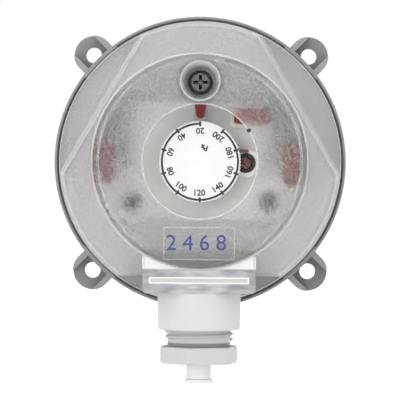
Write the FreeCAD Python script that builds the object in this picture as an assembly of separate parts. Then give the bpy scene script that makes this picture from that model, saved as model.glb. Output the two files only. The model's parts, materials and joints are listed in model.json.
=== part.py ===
import FreeCAD, Part
import math
import os

# A differential pressure switch for air ducts, at its real size in millimetres.
# Own frame: X to the right, Z up, and the front faces -Y.
# The origin is the centre of the mounting plane, on the main axis of the round housing.
# A "depth" is a distance in front of the mounting plane, so it lies at y = -depth.

# Housing halves
joint_depth = 14.0
low_chamber_depth = 12.0
partition_thickness = 2.0
rim_height = 4.0
wall = 2.2
lip_thickness = 0.7
chamber_wall = 2.0
back_groove = 2.7
floor_thickness = 1.8
floor_depth = 2.6
back_rib_count = 24
back_rib_thickness = 1.2
edge_round = 0.5

# Diaphragm and its clamped bead
bead_height = 2.0
bead_width = 2.6
bead_clearance = 0.15
membrane_thickness = 0.6
roll_r = 1.5
roll_offset = 3.2
plate_margin = 2.65
plate_thickness = 1.2
plate_rib_gap = 3.0
backing_r = 20.0
backing_thickness = 1.0
stem_r = 2.0
stroke = 0.8

# Mounting lugs
hole_margin = 3.462
hole_r = 2.4
lug_r = 5.8
lug_floor = 3.2
lug_channel = 8.0
lug_drop = 2.0
lug_tip_height = 4.2

# Snap latches between the housing halves
latch_width = 7.6
latch_thickness = 1.2
latch_drop = 8.0
latch_bar = 2.2
latch_window_width = 4.6
latch_window_height = 2.6
latch_gap = 0.15

# Hose nipples
nipple_r = 3.0
nipple_bore_r = 1.8
nipple_tip_r = 2.5
nipple_length = 13.0
high_port_rise = 4.6
low_port_rise = 6.0

# Setting tube, spindle and range spring
tube_bore_r = 7.6
tube_wall = 2.0
tube_rise = 5.0
tube_cap = 2.0
tube_shoulder = 1.0
spindle_r = 3.9
spindle_flange = 1.6
spindle_thread_r = 3.0
thread_tail = 8.0
running = 0.06
seal_section_r = 0.8
seal_groove_depth = 1.12
seal_inset = 1.6
seat_thickness = 2.0
seat_gap = 5.34
seat_key_width = 3.0
seat_key_height = 1.0
spring_r = 5.6
spring_wire = 0.9
spring_turns = 6
spring_gap = 0.1

# Dial
dial_r = 11.8
dial_thickness = 3.4
dial_lift = 1.4
dial_teeth = 84
dial_tooth = 0.28
dial_slot_length = 5.8
dial_slot_width = 0.9
dial_slot_depth = 0.25
dial_slot_tilt = -18.0
dial_turn = 324.0
dial_skin = 1.2
dial_fit = 0.02
dial_rim = 2.6
stop_height = 1.0
stop_clearance = 2.0

# Contact carrier, screw posts and their screws
contact_space = 6.0
carrier_thickness = 2.5
carrier_band = 21.4
carrier_clearance = 0.6
carrier_top_margin = 1.2
carrier_bottom_margin = 2.4
carrier_gap = 0.1
recess_width = 5.4
recess_drop = 1.2
post_r = 4.0
screw_shank_r = 1.6
screw_pilot_gap = 0.1
screw_head_r = 3.0
screw_head_height = 2.2
screw_bite = 0.5
cover_screw_head_r = 3.5
cover_screw_head_height = 2.6
cover_screw_tip_gap = 1.0

# Contact lever and its contacts
lever_rise = 2.5
lever_inset = 5.0
lever_thickness = 0.5
lever_width = 5.0
lever_end = 1.4
contact_gap = 0.3
contact_r = 1.0
contact_height = 0.5
contact_strip = 0.6
contact_strip_width = 2.8
contact_foot_length = 10.6
contact_foot_overhang = 1.5
pin_r = 0.8
knuckle_wall = 0.65
ear_thickness = 1.8
ear_width = 3.4
plunger_r = 1.5
plunger_tip_r = 0.6
plunger_tip_length = 1.2
plunger_socket = 0.6
plunger_gap = 0.15
plunger_to_contact = 3.7
lever_spring_r = 1.4
lever_spring_wire = 0.3
lever_spring_turns = 4
lever_spring_shift = 0.5

# Terminals
terminal_long = 11.7
terminal_short = 5.3
top_terminal_long = 10.2
top_terminal_short = 4.4
terminal_height = 9.5
tall_terminal_height = 13.5
left_terminal_edge = 0.65
right_terminal_edge = 1.75
right_terminal_drop = 0.8
top_terminal_edge = 2.0
top_terminal_x = 14.9
nest_wall = 1.2
nest_height = 3.5
terminal_round = 1.0
terminal_cap = 0.5
blade_width = 6.3
blade_thickness = 0.8
blade_reach = 7.0
blade_tip = 1.2
blade_gap = 0.1
wire_hole_r = 1.4
wire_hole_drop = 2.4
clamp_screw_r = 1.3
clamp_screw_length = 1.3

# Calibration bush beside the dial
bush_r = 2.85
bush_wall = 1.2
bush_web = 0.65
bush_drop = 0.2
bush_rise = 4.5
bush_height = 6.0
bush_socket_r = 1.9
bush_socket_depth = 2.4
lacquer_height = 1.0
smear_length = 3.4
smear_width = 1.0

# Red pointer at the top of the dial
pointer_width = 3.8
pointer_tip_r = 1.1
pointer_thickness = 2.0
pointer_gap = 0.9
pointer_root_gap = 0.3
pointer_drop = 2.4
pointer_arm = 3.4

# Cover
cover_wall = 2.0
dial_to_cover = 8.7
flat_wall = 1.6
flat_inset = 7.9
flat_rise = 4.0
flat_lean = 1.5
shoulder_inset = 2.6
shoulder_drop = 7.0
slope_drop = 3.4
plateau_inset = 10.5
cover_seat = 2.0
cover_skirt = 3.0
rim_gap = 0.7
bridge_gap = 0.3
bridge_angle = 18.0
window_sink = 0.3
window_gap = 0.85
well_margin = 7.8
well_mouth_r = 5.6
well_floor_r = 4.2
well_wall = 1.3
well_depth = 14.0
well_floor = 2.0
frame_width = 20.4
frame_height = 9.4
frame_gap = 2.15
frame_line = 0.45
frame_raise = 0.3

# Cable entry on the cover
box_width = 32.0
box_reach = 4.2
box_drop = 1.4
box_wall = 1.8
neck_stand = 0.8
neck_wall = 1.9
neck_length = 10.7
neck_bore_r = 10.0
cable_hole_r = 6.0
gland_seat = 1.6

# Gland screw with its seal, washer and plug
thread_gap = 0.15
thread_height = 0.85
seal_length = 5.6
seal_clearance = 0.3
plug_r = 3.58
plug_fit = 0.05
plug_wall = 0.7
plug_rim = 0.5
plug_flange = 1.4
plug_reach = 4.3
washer_thickness = 0.8
washer_gap = 0.3
gland_open = 4.7
gland_undercut = 0.9
hex_margin = 0.2
hex_height = 4.9
hex_turn = -13.2
gland_bore_r = 6.4


# Shapes used throughout
def at(x, z, depth):
    """Point of the frame from its place on the front view and its depth."""
    return FreeCAD.Vector(x, -depth, z)


def rounded_wire(corners, place):
    """Closed outline through the corners; a third number rounds that corner, or if negative cuts it off."""
    count = len(corners)
    trims = []
    for i, corner in enumerate(corners):
        here = FreeCAD.Vector(corner[0], corner[1], 0)
        before = FreeCAD.Vector(*corners[i - 1][:2], 0) - here
        after = FreeCAD.Vector(*corners[(i + 1) % count][:2], 0) - here
        radius = corner[2] if len(corner) > 2 else 0
        if radius == 0:
            trims.append((here, here, here))
            continue
        before.normalize()
        after.normalize()
        if radius < 0:
            trims.append((here - before * radius, None, here - after * radius))
            continue
        half = before.getAngle(after) / 2
        run = radius / math.tan(half)
        bisector = (before + after).normalize()
        middle = here + bisector * (radius / math.sin(half) - radius)
        trims.append((here + before * run, middle, here + after * run))
    edges = []
    for i, (start, middle, end) in enumerate(trims):
        if middle is None:
            edges.append(Part.makeLine(place(start.x, start.y), place(end.x, end.y)))
        elif (end - start).Length > 1e-6:
            points = [place(p.x, p.y) for p in (start, middle, end)]
            edges.append(Part.Arc(*points).toShape())
        following = trims[(i + 1) % count][0]
        if (following - end).Length > 1e-6:
            edges.append(Part.makeLine(place(end.x, end.y), place(following.x, following.y)))
    return Part.Wire(edges)


def turned(profile, x=0.0, z=0.0):
    """Solid turned about an axis along Y from corners of (radius, depth)."""
    wire = rounded_wire(profile, lambda r, d: at(x + r, z, d))
    return Part.Face(wire).revolve(at(x, z, 0), FreeCAD.Vector(0, 1, 0), 360)


def turned_upright(profile, depth, x=0.0):
    """Solid turned about an axis along Z from corners of (radius, height)."""
    wire = rounded_wire(profile, lambda r, h: at(x + r, h, depth))
    return Part.Face(wire).revolve(at(x, 0, depth), FreeCAD.Vector(0, 0, 1), 360)


def plate(corners, low, high):
    """Flat solid between two depths from corners of (x, z)."""
    wire = rounded_wire(corners, lambda x, z: at(x, z, low))
    return Part.Face(wire).extrude(FreeCAD.Vector(0, low - high, 0))


def block(x, z, width, height, low, high, radius=0.0):
    """Rectangular plate round a centre, its four corners rounded alike."""
    w, h = width / 2, height / 2
    sides = [(x - w, z - h), (x + w, z - h), (x + w, z + h), (x - w, z + h)]
    return plate([side + (radius,) for side in sides], low, high)


def disc(radius, low, high, x=0.0, z=0.0):
    """Round rod along Y between two depths."""
    return Part.makeCylinder(radius, high - low, at(x, z, low), FreeCAD.Vector(0, -1, 0))


def rod(radius, low, high, x, depth):
    """Round rod along Z between two heights."""
    return Part.makeCylinder(radius, high - low, at(x, low, depth), FreeCAD.Vector(0, 0, 1))


def turn(shape, degrees, x=0.0, z=0.0):
    """The same shape turned clockwise, as the front view shows it."""
    copy = shape.copy()
    copy.rotate(at(x, z, 0), FreeCAD.Vector(0, 1, 0), degrees)
    return copy


def fused(shapes):
    """One solid from several that meet."""
    return shapes[0].multiFuse(shapes[1:]).removeSplitter()


def coil(radius, wire, turns, low, high, x=0.0, z=0.0):
    """Compression spring along Y whose ends reach the two depths."""
    rise = high - low - wire
    helix = Part.makeHelix(rise / turns, rise, radius)
    start = FreeCAD.Vector(radius, 0, 0)
    along = FreeCAD.Vector(0, 2 * math.pi * radius, rise / turns)
    sides = [FreeCAD.Vector(wire / 2, 0, 0)]
    for i in range(1, 9):
        sides.append(FreeCAD.Rotation(along, 45 * i).multVec(sides[0]))
    section = Part.makePolygon([start + side for side in sides])
    spring = Part.Wire(helix).makePipeShell([section], True, True)
    spring.rotate(FreeCAD.Vector(0, 0, 0), FreeCAD.Vector(1, 0, 0), 90)
    spring.translate(at(x, z, low + wire / 2))
    return spring


# Depths that several pieces share, from the wall forwards
seat_depth = joint_depth - bead_height
membrane_depth = seat_depth + (bead_height - membrane_thickness) / 2
plate_depth = membrane_depth + membrane_thickness
plate_front = plate_depth + plate_thickness
high_port_depth = floor_depth + high_port_rise
low_port_depth = joint_depth + low_port_rise
partition_depth = joint_depth + low_chamber_depth
partition_front = partition_depth + partition_thickness
rim_depth = partition_front + rim_height
cover_base = rim_depth - cover_seat
flat_step_depth = rim_depth + flat_rise
lever_depth = partition_front + lever_rise
pivot_depth = lever_depth + lever_thickness / 2
carrier_depth = partition_front + contact_space
carrier_front = carrier_depth + carrier_thickness
bush_top = carrier_front + bush_rise
tube_top = carrier_front + tube_rise
flange_front = tube_top - tube_cap - running
flange_depth = flange_front - spindle_flange
seat_depth_at_rest = flange_depth - seat_gap - seat_thickness
spindle_thread_end = seat_depth_at_rest - thread_tail
seal_groove = tube_top - seal_inset
dial_depth = tube_top + dial_lift
dial_front = dial_depth + dial_thickness
cover_depth = dial_front + dial_to_cover + cover_wall
cover_shoulder_depth = cover_depth - shoulder_drop
cover_slope_depth = cover_depth - slope_drop
well_floor_depth = cover_depth - well_depth
post_top = well_floor_depth - well_floor
pointer_depth = post_top - pointer_drop
cover_screw_length = well_floor_depth - partition_front - cover_screw_tip_gap
box_depth = cover_depth - box_drop
neck_r = neck_bore_r + neck_wall
neck_depth = box_depth + neck_stand - neck_r

# Radii and places on the front view, from the axis outwards
tube_r = tube_bore_r + tube_wall
carrier_r = tube_r + carrier_band
flat_distance = carrier_r + carrier_clearance + flat_wall
cover_r = flat_distance + flat_inset
cover_shoulder_r = cover_r - shoulder_inset
cover_plateau_r = cover_r - plateau_inset
lip_r = cover_r + rim_gap
housing_r = lip_r + lip_thickness
inner_r = housing_r - wall
chamber_r = inner_r - back_groove - chamber_wall
bead_outer_r = inner_r + edge_round
roll_centre_r = bead_outer_r - bead_clearance - bead_width - roll_offset
plate_r = roll_centre_r - roll_r - 2 * membrane_thickness - plate_margin
hole_circle_r = housing_r + hole_margin
lug_turns = [45 + 90 * i for i in range(4)]
post_circle_r = cover_plateau_r - well_margin
window_r = post_circle_r - well_mouth_r - window_gap
well_x = 0.0
well_z = post_circle_r
post_sites = [
    (post_circle_r * math.cos(math.radians(a)), post_circle_r * math.sin(math.radians(a)))
    for a in (210, 330)
]
carrier_top = post_circle_r - post_r - carrier_top_margin
carrier_bottom = -post_circle_r / 2 - screw_head_r - carrier_bottom_margin
bush_x = tube_r + carrier_gap + bush_web + bush_r
bush_z = -bush_drop
lever_pivot_x = lever_inset - carrier_r
contact_x = -tube_r - tube_shoulder - contact_gap - contact_strip_width / 2
plunger_x = contact_x - plunger_to_contact
lever_arm = plunger_x - lever_pivot_x
lever_spring_x = (lever_pivot_x + plunger_x) / 2 + lever_spring_shift
knuckle_r = pin_r + running + knuckle_wall
pin_reach = lever_width / 2 + 0.4 + ear_thickness
box_bottom = -flat_distance - box_reach
box_top = 2 * cover_wall - cover_plateau_r
frame_z = -window_r - frame_gap - frame_height / 2

# Terminals: centre x, centre z, size along x, size along z, front depth
terminal_sites = {
    "left": (left_terminal_edge + terminal_short / 2 - carrier_r, 0.0, terminal_short, terminal_long,
             carrier_front + tall_terminal_height),
    "right": (carrier_r - right_terminal_edge - terminal_short / 2, -right_terminal_drop, terminal_short,
              terminal_long, carrier_front + terminal_height),
    "top": (top_terminal_x, carrier_top - top_terminal_edge - top_terminal_short / 2, top_terminal_long,
            top_terminal_short, carrier_front + terminal_height),
}

# Heights and radii of the cable gland, from the box downwards
thread_r = neck_bore_r - thread_gap
thread_root_r = thread_r - thread_height
hex_flats = 2 * (thread_r + hex_margin)
plug_flange_r = plug_r + plug_rim
neck_end = box_bottom - neck_length
gland_seat_z = box_bottom - gland_seat
seal_end = gland_seat_z - seal_length
washer_end = seal_end - washer_thickness
hex_top = neck_end - gland_open
hex_end = hex_top - hex_height
plug_end = hex_end - plug_reach - plug_flange


# Housing, rear half
def nipple(depth, root_r):
    """Hose nipple pointing down, from inside the wall to its tapered tip."""
    top = -root_r
    tip = -housing_r - nipple_length
    profile = [
        (0, top),
        (nipple_r, top),
        (nipple_r, tip + 3 * edge_round),
        (nipple_tip_r, tip),
        (0, tip),
    ]
    return turned_upright(profile, depth)


def nipple_bore(depth):
    """Air passage of a nipple into its pressure chamber."""
    return rod(nipple_bore_r, -housing_r - nipple_length - 1, -chamber_r + 1, 0, depth)


def lug():
    """Mounting ear on +X: a floor between two cheeks that slope down outwards."""
    tip = hole_circle_r + lug_r
    root = inner_r
    side = lambda v: lambda r, d: at(r, v, d)
    top = joint_depth - lug_drop
    slope = [(root, 0), (tip, 0), (tip, lug_tip_height), (housing_r + 1.0, top, 3.0), (root, top)]
    cheeks = Part.Face(rounded_wire(slope, side(-lug_r))).extrude(FreeCAD.Vector(0, 0, 2 * lug_r))
    outline = [(root, -lug_r), (tip, -lug_r, lug_r - 0.01), (tip, lug_r, lug_r - 0.01), (root, lug_r)]
    return cheeks.common(plate(outline, 0, top))


def lug_cut():
    """Open channel between the cheeks of one lug, with its screw hole."""
    start = housing_r - latch_thickness - latch_gap
    end = hole_circle_r + lug_r + 1
    channel = block((start + end) / 2, 0, end - start, lug_channel, lug_floor, joint_depth + 1)
    hole = disc(hole_r, -1, lug_floor + 1, hole_circle_r)
    return channel.fuse(hole)


def latch_wedge():
    """Catch on the rear wall that the window of a latch snaps over."""
    root = housing_r - latch_thickness - latch_gap - 0.2
    low = joint_depth - latch_drop + latch_bar
    high = low + latch_window_height - 2 * latch_gap
    width = latch_window_width - 2 * latch_gap
    profile = [(root, low), (housing_r - 0.1, low), (root + 0.3, high), (root, high)]
    face = Part.Face(rounded_wire(profile, lambda r, d: at(r, -width / 2, d)))
    return face.extrude(FreeCAD.Vector(0, 0, width))


def rear_housing():
    outer_chamber = chamber_r + chamber_wall
    groove_end = seat_depth - floor_thickness
    body = turned([
        (0, floor_depth - floor_thickness),
        (chamber_r, floor_depth - floor_thickness),
        (chamber_r, 0),
        (housing_r, 0, edge_round),
        (housing_r, joint_depth, edge_round),
        (bead_outer_r, joint_depth),
        (bead_outer_r, seat_depth),
        (chamber_r, seat_depth),
        (chamber_r, floor_depth, -0.8),
        (0, floor_depth),
    ])
    groove = turned([
        (outer_chamber, -1),
        (inner_r, -1),
        (inner_r, groove_end),
        (outer_chamber, groove_end),
    ])
    rib = block((outer_chamber + inner_r) / 2, 0, back_groove + 1, back_rib_thickness, -1, groove_end)
    spacing = 360 / back_rib_count
    ribs = [turn(rib, spacing * (i + 0.5)) for i in range(back_rib_count)]
    port = rod(nipple_r + chamber_wall, -inner_r, -chamber_r - chamber_wall / 2, 0, high_port_depth)
    port = port.common(disc(housing_r, 0, groove_end))
    body = body.cut(groove.cut(Part.makeCompound(ribs)).cut(port))
    body = fused([body, nipple(high_port_depth, housing_r - wall)] + [turn(lug(), a) for a in lug_turns])
    for angle in lug_turns:
        body = body.cut(turn(lug_cut(), angle))
    body = fused([body] + [turn(latch_wedge(), a) for a in lug_turns])
    return body.cut(nipple_bore(high_port_depth))


# Housing, front half
def latch():
    """Snap tongue on +X that hangs from the front half into the lug's channel."""
    low = joint_depth - latch_drop
    inner = housing_r - latch_thickness
    tongue = block((inner + housing_r) / 2, 0, latch_thickness, latch_width, low, joint_depth + 1)
    middle = low + latch_bar - latch_gap + latch_window_height / 2
    window = Part.makeBox(latch_thickness + 2, latch_window_height, latch_window_width)
    window.translate(at(inner - 1, -latch_window_width / 2, middle + latch_window_height / 2))
    return tongue.cut(window).common(disc(housing_r, 0, rim_depth))


def rim_bridge():
    """Thickened stretch of the rim that nearly closes the gap round the cover."""
    outer, inner = lip_r + 0.2, cover_r + bridge_gap
    half = math.radians(bridge_angle / 2)
    ring = turned([(inner, cover_base), (outer, cover_base), (outer, rim_depth), (inner, rim_depth)])
    reach = 2 * outer
    sector = plate([(0, 0), (reach * math.cos(half), -reach * math.sin(half)),
                    (reach * math.cos(half), reach * math.sin(half))], cover_base, rim_depth)
    return ring.common(sector)


def stop_tooth():
    """Tooth on the setting tube that the dial's stop runs against."""
    width = dial_stop_width()
    return block(tube_r - tube_wall / 2, 0, tube_wall, width, tube_top, tube_top + stop_height)


def dial_stop_width():
    """Width that lets two equal stops leave the dial its turn."""
    share = math.radians((360 - dial_turn - 2 * stop_clearance) / 2)
    return (tube_r - tube_wall) * 2 * math.tan(share / 2)


def pointer_arm_block():
    """Arm between the setting tube and the cover screw's post that carries the pointer."""
    middle = (tube_r + post_circle_r) / 2
    return block(0, middle, pointer_arm, post_circle_r - tube_r, partition_front, pointer_depth)


def front_housing():
    bore_r = chamber_r + chamber_wall
    body = turned([
        (tube_bore_r, partition_depth),
        (bore_r, partition_depth, -0.8),
        (bore_r, joint_depth),
        (housing_r, joint_depth, edge_round),
        (housing_r, rim_depth, -0.2),
        (lip_r, rim_depth),
        (lip_r, cover_base),
        (inner_r, cover_base),
        (inner_r, partition_front, -0.8),
        (tube_r + tube_shoulder, partition_front),
        (tube_r + tube_shoulder, carrier_depth),
        (tube_r, carrier_depth),
        (tube_r, tube_top, edge_round),
        (spindle_r + running, tube_top),
        (spindle_r + running, tube_top - tube_cap),
        (tube_bore_r, tube_top - tube_cap),
    ])
    pieces = [body, nipple(low_port_depth, housing_r - wall), turn(stop_tooth(), -90)]
    pieces += [turn(latch(), a) for a in lug_turns] + [turn(rim_bridge(), a) for a in lug_turns]
    pieces += [disc(post_r, partition_depth, post_top, well_x, well_z), pointer_arm_block()]
    pieces += [disc(post_r, partition_depth, carrier_depth, x, z) for x, z in post_sites]
    body = fused(pieces)
    pilot = screw_shank_r + screw_pilot_gap
    cuts = [nipple_bore(low_port_depth)]
    cuts += [disc(pilot, partition_depth + 1.2, post_top + 1, well_x, well_z)]
    cuts += [disc(pilot, partition_depth + 0.8, carrier_depth + 1, x, z) for x, z in post_sites]
    cuts += [disc(plunger_r + running, partition_depth - 1, partition_front + 1, plunger_x)]
    keyways = block(0, 0, 2 * (tube_bore_r + seat_key_height), seat_key_width + 2 * running,
                    partition_depth - 1, flange_depth)
    keyways = keyways.common(disc(tube_bore_r + seat_key_height + 0.1, 0, tube_top))
    return body.cut(Part.makeCompound(cuts)).cut(keyways)


# Diaphragm group
def diaphragm():
    """Moulded silicone disc: bead, rolled convolution and flat centre."""
    outer = bead_outer_r - bead_clearance
    inner = outer - bead_width
    low, high = membrane_depth, plate_depth
    crest = high + roll_r
    roll = roll_centre_r
    profile = [
        (stem_r, low),
        (roll - roll_r - membrane_thickness, low),
        (roll - roll_r, crest - membrane_thickness, -0.5),
        (roll + roll_r - membrane_thickness, crest - membrane_thickness, -0.5),
        (roll + roll_r, low),
        (inner, low),
        (inner, seat_depth, -0.3),
        (outer, seat_depth, -0.3),
        (outer, joint_depth, -0.3),
        (inner, joint_depth, -0.3),
        (inner, high),
        (roll + roll_r + membrane_thickness, high),
        (roll + roll_r, crest, 0.9),
        (roll - roll_r - membrane_thickness, crest, 0.9),
        (roll - roll_r - 2 * membrane_thickness, high),
        (stem_r, high),
    ]
    return turned(profile)


def diaphragm_plate():
    """Stiff plate in front of the diaphragm, with its stem and spring boss."""
    boss_r = spring_r - spring_wire / 2 - 0.3
    body = turned([
        (0, membrane_depth - backing_thickness),
        (stem_r, membrane_depth - backing_thickness),
        (stem_r, plate_depth),
        (plate_r, plate_depth, -0.3),
        (plate_r, plate_front, -0.3),
        (boss_r, plate_front),
        (boss_r, plate_front + 2.0, -0.5),
        (0, plate_front + 2.0),
    ])
    rib_start = spring_r + spring_wire + plate_rib_gap
    rib_end = plate_r - plate_rib_gap
    rib = block((rib_start + rib_end) / 2, 0, rib_end - rib_start, 1.0, plate_front - 0.2, plate_front + 0.8)
    body = fused([body] + [turn(rib, a) for a in range(0, 360, 30)])
    return body.cut(disc(plunger_r, plate_front - plunger_socket, plate_front + 2, plunger_x))


def backing_washer():
    """Thin washer that backs the diaphragm on its high-pressure side."""
    back = membrane_depth - backing_thickness
    return turned([
        (stem_r, back),
        (backing_r, back, -0.3),
        (backing_r, membrane_depth),
        (stem_r, membrane_depth),
    ])


def plunger():
    """Pin that carries the diaphragm's movement to the contact lever."""
    tip = lever_depth - plunger_gap
    return turned([
        (0, plate_front - plunger_socket),
        (plunger_r, plate_front - plunger_socket),
        (plunger_r, tip - plunger_tip_length),
        (plunger_tip_r, tip),
        (0, tip),
    ], plunger_x)


def spring_seat():
    """Nut on the spindle that presses the range spring and slides on two keys."""
    low = seat_depth_at_rest
    high = low + seat_thickness
    r = tube_bore_r - 2 * running - 0.2
    bore = spindle_thread_r + running
    collar = spring_r - spring_wire / 2 - 0.25
    body = turned([
        (bore, low - 1.5),
        (collar, low - 1.5, -0.4),
        (collar, low),
        (r, low),
        (r, high),
        (bore, high),
    ])
    keys = block(0, 0, 2 * (tube_bore_r + seat_key_height - 0.25), seat_key_width, low, high)
    keys = keys.cut(disc(spindle_thread_r + 1, 0, tube_top))
    return fused([body, keys])


def range_spring():
    """Coil spring whose force sets the switching pressure."""
    low = plate_front + spring_gap
    high = seat_depth_at_rest - spring_gap
    return coil(spring_r, spring_wire, spring_turns, low, high)


def adjusting_spindle():
    """Threaded spindle held under the tube's cap, with the dial's flats in front."""
    groove_r = spindle_r - seal_groove_depth
    return turned([
        (0, spindle_thread_end),
        (spindle_thread_r, spindle_thread_end, -0.4),
        (spindle_thread_r, flange_depth),
        (tube_bore_r - running, flange_depth),
        (tube_bore_r - running, flange_front),
        (spindle_r, flange_front),
        (spindle_r, seal_groove),
        (groove_r, seal_groove),
        (groove_r, seal_groove + 2 * seal_section_r),
        (spindle_r, seal_groove + 2 * seal_section_r),
        (spindle_r, dial_front - dial_skin),
        (0, dial_front - dial_skin),
    ])


def spindle_seal():
    """Rubber ring in the spindle's groove."""
    section_r = seal_groove_depth / 2 - 0.03
    ring_r = spindle_r - seal_groove_depth / 2
    middle = at(0, 0, seal_groove + seal_section_r)
    return Part.makeTorus(ring_r, section_r, middle, FreeCAD.Vector(0, 1, 0))


def dial():
    """Knurled setting dial with a screwdriver slot and a stop underneath."""
    points = []
    for i in range(2 * dial_teeth):
        angle = math.pi * i / dial_teeth
        r = dial_r - dial_tooth * (i % 2)
        points.append((r * math.cos(angle), r * math.sin(angle)))
    rim = plate(points, dial_depth, dial_front)
    crown = turned([
        (0, dial_depth),
        (dial_r + 1, dial_depth),
        (dial_r + 1, dial_front - 0.9),
        (dial_r - 0.35, dial_front, 0.3),
        (0, dial_front),
    ])
    body = rim.common(crown)
    slot = block(0, 0, dial_slot_length, dial_slot_width, dial_front - dial_slot_depth, dial_front + 1, 0.3)
    hub_r = spindle_r + 1.6
    under = dial_front - dial_skin - 0.2
    hollow = turned([
        (hub_r, dial_depth - 1),
        (dial_r - dial_rim, dial_depth - 1),
        (dial_r - dial_rim, under),
        (hub_r, under),
    ])
    bore = disc(spindle_r + dial_fit, dial_depth - 1, dial_front - dial_skin)
    body = body.cut(turn(slot, -dial_slot_tilt)).cut(hollow).cut(bore)
    middle = tube_r - tube_wall / 2
    foot = block(middle, 0, tube_wall, dial_stop_width(), dial_depth - stop_height - 0.2, under + 0.1)
    return fused([body, turn(foot, (360 - dial_turn) / 2 - 90)])


# Contacts in the switch compartment
def contact_carrier():
    """Moulded plate that holds the terminals, the lever and the calibration bush."""
    base = disc(carrier_r, carrier_depth, carrier_front)
    band = block(0, (carrier_top + carrier_bottom) / 2, 3 * carrier_r, carrier_top - carrier_bottom,
                 carrier_depth, carrier_front)
    pieces = [base.common(band), disc(bush_r + bush_wall + running, carrier_depth, bush_top, bush_x, bush_z)]
    cuts = [disc(tube_r + carrier_gap, 0, cover_depth)]
    cuts += [disc(bush_r + running, bush_top - bush_height, cover_depth, bush_x, bush_z)]
    cuts += [disc(screw_shank_r + 0.2, 0, cover_depth, x, z) for x, z in post_sites]
    arm_top = carrier_top + 1
    slot_edge = pointer_arm / 2 + carrier_gap
    cuts += [block(0, arm_top / 2, 2 * slot_edge, arm_top, 0, cover_depth)]
    cuts += [block(slot_edge + recess_width / 2, arm_top / 2, recess_width, arm_top, carrier_front - recess_drop,
                   carrier_front + 1)]
    for x, z, width, height, front in terminal_sites.values():
        nest = block(x, z, width + 2 * nest_wall, height + 2 * nest_wall, carrier_depth,
                     carrier_front + nest_height, terminal_round)
        pieces.append(nest)
        cuts.append(block(x, z, width + 2 * carrier_gap, height + 2 * carrier_gap, carrier_front,
                          cover_depth, terminal_round))
        cuts.append(blade_slot(x, z, width, height))
    for side in (-1, 1):
        pieces.append(block(lever_pivot_x, side * (lever_width / 2 + 0.4 + ear_thickness / 2), ear_width,
                            ear_thickness, pivot_depth - ear_width / 2, carrier_depth + 1))
    cuts.append(rod(pin_r + 0.01, -pin_reach, pin_reach, lever_pivot_x, pivot_depth))
    body = fused(pieces)
    for cut in cuts:
        body = body.cut(cut)
    return body


def blade_size(width, height):
    """A terminal blade lies along the longer side of its clamp."""
    if height > width:
        return blade_thickness, blade_width
    return blade_width, blade_thickness


def blade_slot(x, z, width, height):
    """Slot through the carrier for a terminal blade."""
    along_x, along_z = blade_size(width, height)
    return block(x, z, along_x + blade_gap, along_z + blade_gap, carrier_depth - 1, carrier_front + 1)


def terminal_blade(x, z, width, height, front):
    """Flat tab that stands in the carrier and reaches into its clamp."""
    along_x, along_z = blade_size(width, height)
    top = carrier_front + blade_reach
    long_side = max(along_x, along_z)
    w = long_side / 2
    low = carrier_depth - 0.5
    shoulder = top - 1.4
    tip = w - blade_tip
    corners = [(-w, low), (w, low), (w, shoulder), (tip, top), (-tip, top), (-w, shoulder)]
    if along_z > along_x:
        wire = rounded_wire(corners, lambda u, d: at(x - along_x / 2, z + u, d))
        return Part.Face(wire).extrude(FreeCAD.Vector(along_x, 0, 0))
    wire = rounded_wire(corners, lambda u, d: at(x + u, z - along_z / 2, d))
    return Part.Face(wire).extrude(FreeCAD.Vector(0, 0, along_z))


def clamp_screw_axis(x, z, width, height):
    """Mouth of a clamp's screw hole and the direction in which the screw points."""
    if height > width:
        side = 1 if x > 0 else -1
        return (x + side * width / 2, z), FreeCAD.Vector(-side, 0, 0)
    return (x, z + height / 2), FreeCAD.Vector(0, 0, -1)


def terminal_clamp(x, z, width, height, front):
    """Red push-on screw clamp for one wire."""
    body = block(x, z, width, height, carrier_front, front, terminal_round)
    cap = block(x, z, width - 1.2, height - 1.2, front, front + terminal_cap, terminal_round * 0.5)
    along_x, along_z = blade_size(width, height)
    pocket = block(x, z, along_x + 2 * blade_gap, along_z + 2 * blade_gap, carrier_front - 1,
                   carrier_front + blade_reach + 0.3)
    wire_depth = front - wire_hole_drop
    if height > width:
        hole = rod(wire_hole_r, z - height, z, x, wire_depth)
    else:
        hole = Part.makeCylinder(wire_hole_r, width, at(x, z, wire_depth), FreeCAD.Vector(1, 0, 0))
    (mouth_x, mouth_z), inward = clamp_screw_axis(x, z, width, height)
    start = at(mouth_x, mouth_z, wire_depth) - inward
    screw_hole = Part.makeCylinder(clamp_screw_r, 2.6, start, inward)
    return fused([body, cap]).cut(pocket).cut(hole).cut(screw_hole)


def clamp_screw(x, z, width, height, front):
    """Small slotted screw in the side of a clamp."""
    (mouth_x, mouth_z), inward = clamp_screw_axis(x, z, width, height)
    start = at(mouth_x, mouth_z, front - wire_hole_drop) + inward * 0.3
    body = Part.makeCylinder(clamp_screw_r, clamp_screw_length, start, inward)
    slot = Part.makeBox(3 * clamp_screw_r, 0.4, 3 * clamp_screw_r)
    slot.translate(FreeCAD.Vector(-1.5 * clamp_screw_r, -0.2, -1.5 * clamp_screw_r))
    bottom = slot.copy()
    bottom.translate(start + inward * (0.4 - 1.5 * clamp_screw_r))
    return body.cut(bottom)


def contact_lever():
    """Rocking changeover contact: a strip rolled round its pin, with a contact stud."""
    strip = Part.makeBox(contact_x + lever_end - lever_pivot_x, lever_thickness, lever_width)
    strip.translate(at(lever_pivot_x, -lever_width / 2, lever_depth + lever_thickness))
    knuckle = rod(knuckle_r, -lever_width / 2, lever_width / 2, lever_pivot_x, pivot_depth)
    front = lever_depth + lever_thickness
    stud = disc(contact_r, lever_depth - contact_height, front + contact_height, contact_x)
    body = fused([strip, knuckle, stud])
    return body.cut(rod(pin_r + running, -lever_width, lever_width, lever_pivot_x, pivot_depth))


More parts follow.
